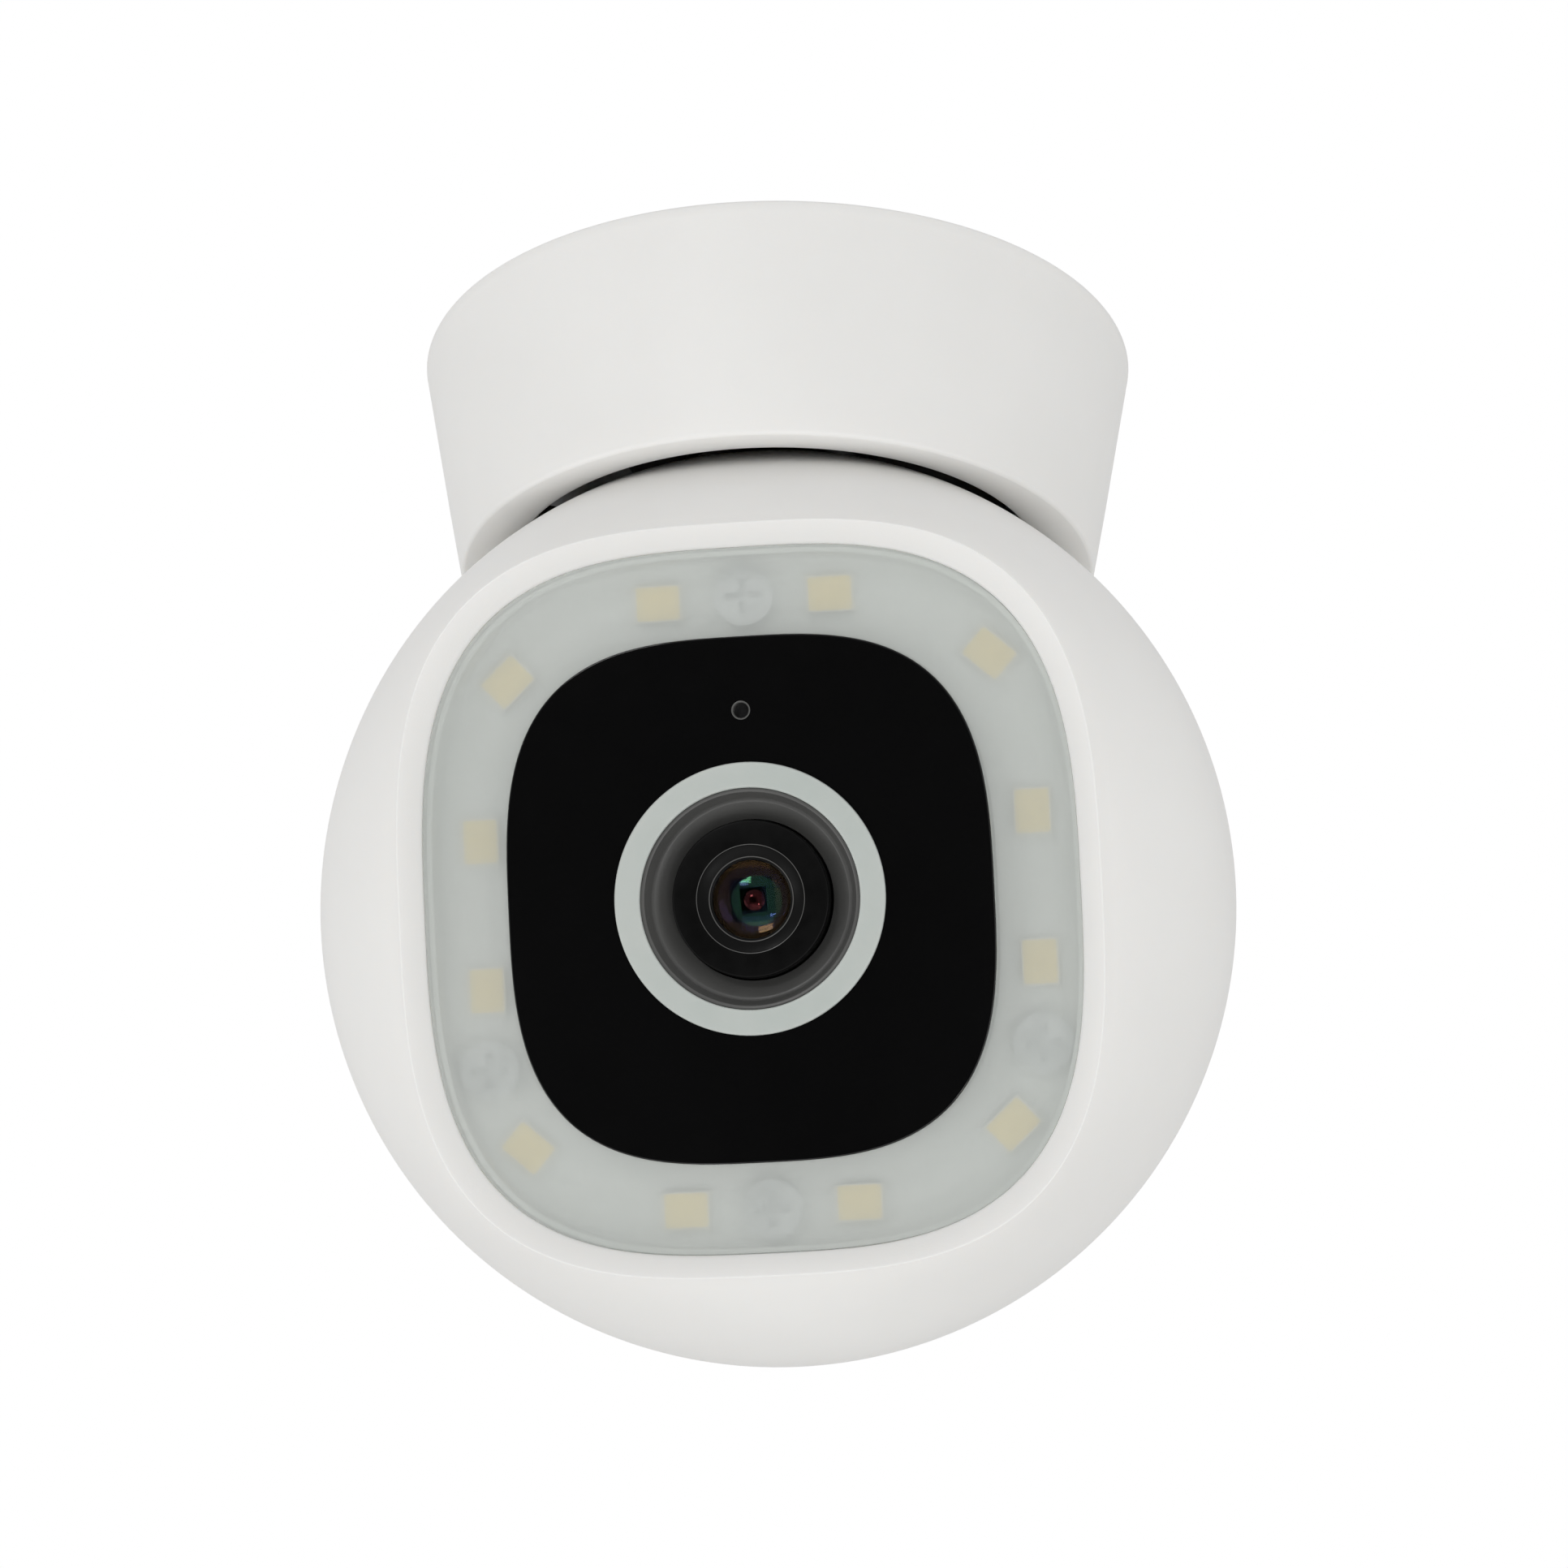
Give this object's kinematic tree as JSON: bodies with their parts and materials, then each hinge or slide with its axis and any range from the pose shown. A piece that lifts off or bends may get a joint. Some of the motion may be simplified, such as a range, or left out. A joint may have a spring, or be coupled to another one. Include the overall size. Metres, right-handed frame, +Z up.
{
  "type": "floodlight security camera",
  "caption": "Ball-head ceiling camera with a lens in a black window, a ring of floodlight LEDs behind a frosted diffuser, and motorised pan and tilt under a tapered collar.",
  "frame": {"origin": "centre of the mounting plate's top face, which rests against the ceiling", "axes": "+Z up into the ceiling along the pan axis, -Y the way the lens faces at rest, X along the tilt axis"},
  "size_m": [0.07, 0.063, 0.0806],
  "materials": {
    "white_plastic": "fine satin texture",
    "frosted_diffuser": "frosted, milky and translucent",
    "black_window": "high gloss piano black",
    "ring_light_guide": "pale satin light guide",
    "bezel_grey": "fine matt",
    "lens_black": "black anodised look, semi matt",
    "lens_glass": "coated optical glass",
    "led_phosphor": "yellow phosphor in a white package",
    "board_white": "white solder resist",
    "board_green": "green solder resist",
    "chip_black": "matt moulded",
    "dark_plastic": "matt moulded",
    "cast_metal": "die cast, dull",
    "steel": "plated",
    "brass": "machined",
    "nylon": "natural nylon",
    "foam": "closed cell foam"
  },
  "bodies": {
    "base": {"mounting_plate": "steel", "ceiling_gasket": "foam", "collar": "white_plastic", "base_chassis": "dark_plastic", "chassis_screws": "steel", "lock_screws": "steel", "power_board": "board_green", "power_inlet": "steel", "speaker": "chip_black", "antenna": "brass", "pan_motor": "steel", "pan_bearing": "brass"},
    "pan_pinion": {"pan_pinion": "brass"},
    "turret": {"turret_neck": "dark_plastic", "pan_gear": "nylon", "retaining_ring": "steel", "yoke": "cast_metal", "yoke_screws": "steel", "yoke_bushes": "brass", "tilt_motor": "steel"},
    "tilt_pinion": {"tilt_pinion": "brass"},
    "head": {"head_frame": "dark_plastic", "pivot_pins": "steel", "spacer_washer": "nylon", "tilt_gear": "nylon", "front_shell": "white_plastic", "rear_shell": "white_plastic", "shell_ring": "dark_plastic", "diffuser": "frosted_diffuser", "front_window": "black_window", "status_ring": "ring_light_guide", "lens_bezel": "bezel_grey", "lens_barrel": "lens_black", "lens_glass": "lens_glass", "lens_holder": "lens_black", "sensor_board": "board_green", "image_sensor": "chip_black", "microphone": "brass", "light_baffle": "lens_black", "led_board": "board_white", "floodlight_leds": "led_phosphor", "led_screws": "steel", "heat_spreader": "cast_metal", "main_board": "board_green", "processor": "chip_black", "radio_shield": "steel", "board_screws": "steel", "card_board": "board_green", "card_socket": "steel", "reset_switch": "chip_black"},
    "reset_button": {"reset_button": "white_plastic"}
  },
  "joints": [
    {"name": "pan", "type": "hinge", "parent": "base", "child": "turret", "pos_m": [0, 0, -0.006], "axis": [0, 0, 1], "range_deg": [-170, 170]},
    {"name": "pan_pinion_spin", "type": "hinge", "parent": "base", "child": "pan_pinion", "pos_m": [-0.01516, -0.00875, -0.006], "axis": [0, 0, 1], "range_deg": [-680, 680]},
    {"name": "tilt", "type": "hinge", "parent": "turret", "child": "head", "pos_m": [0, 0, -0.04612], "axis": [1, 0, 0], "range_deg": [-20, 70]},
    {"name": "tilt_pinion_spin", "type": "hinge", "parent": "turret", "child": "tilt_pinion", "pos_m": [0, 0, -0.03311], "axis": [1, 0, 0], "range_deg": [-233.4, 66.7]},
    {"name": "reset_press", "type": "slide", "parent": "head", "child": "reset_button", "axis": [-0.2924, -0.8867, 0.3582], "range_m": [0, 0.0006], "stiffness_N_per_m": 300, "springref_m": -0.0005}
  ],
  "couplings": [
    {"joint": "pan_pinion_spin", "follows": "pan", "ratio": -4},
    {"joint": "tilt_pinion_spin", "follows": "tilt", "ratio": -3.3333}
  ]
}
